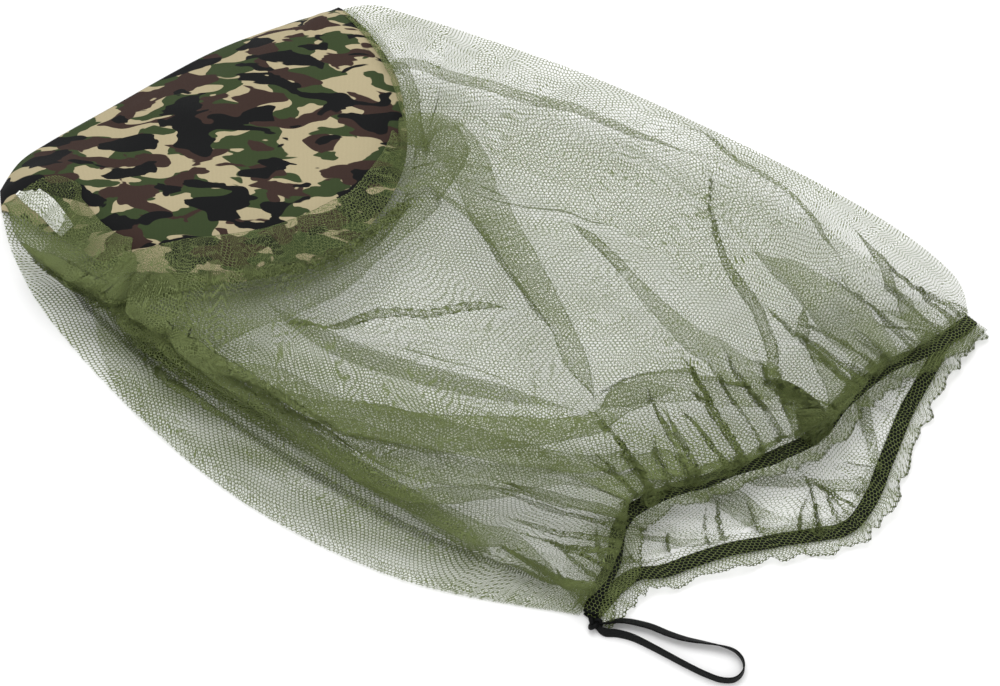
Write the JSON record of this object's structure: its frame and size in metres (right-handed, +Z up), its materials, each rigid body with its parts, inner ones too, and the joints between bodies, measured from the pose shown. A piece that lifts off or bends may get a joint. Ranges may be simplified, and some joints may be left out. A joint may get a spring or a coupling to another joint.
{
  "type": "beekeeping head veil",
  "caption": "Net head veil lying folded flat: round cotton crown, long knitted net bag with an elastic hem and a small elastic arm loop.",
  "frame": {"origin": "on the table under the middle of the bag as it lies on its side", "axes": "+X from the crown to the open end, +Y from the edge with the side seam to the other edge, +Z up from the table"},
  "size_m": [0.5799, 0.3875, 0.0318],
  "materials": {
    "knitted_net": "knitted polyester net, olive green",
    "camouflage_cotton": "woven cotton printed with beige, green, brown and black patches",
    "black_elastic": "flat braided elastic, black",
    "overlock_thread": "dark green overlock thread",
    "satin_label": "blank white satin ribbon"
  },
  "bodies": {
    "bag_lower": {"net_lower": "knitted_net", "crown_turned_under": "camouflage_cotton", "hem_elastic_lower": "black_elastic", "hem_frill_lower": "knitted_net", "side_seam": "overlock_thread", "care_label": "satin_label"},
    "bag_upper": {"net_upper": "knitted_net", "crown_top": "camouflage_cotton", "hem_elastic_upper": "black_elastic", "hem_frill_upper": "knitted_net"},
    "loop_knot": {"arm_loop_knot": "black_elastic"},
    "loop": {"arm_loop": "black_elastic", "arm_loop_join": "black_elastic"}
  },
  "joints": [
    {"name": "mouth_open", "type": "hinge", "parent": "bag_lower", "child": "bag_upper", "pos_m": [-0.264, 0.026, 0.001], "axis": [-0.3219, -0.9468, 0], "range_deg": [0, 12]},
    {"name": "arm_loop_swing", "type": "hinge", "parent": "bag_lower", "child": "loop_knot", "pos_m": [0.19, -0.148, 0.005], "axis": [0, 0, 1], "range_deg": [-110, 0]},
    {"name": "arm_loop_lift", "type": "hinge", "parent": "loop_knot", "child": "loop", "pos_m": [0.19, -0.148, 0.005], "axis": [-0.1701, -0.9854, 0], "range_deg": [0, 75]}
  ]
}
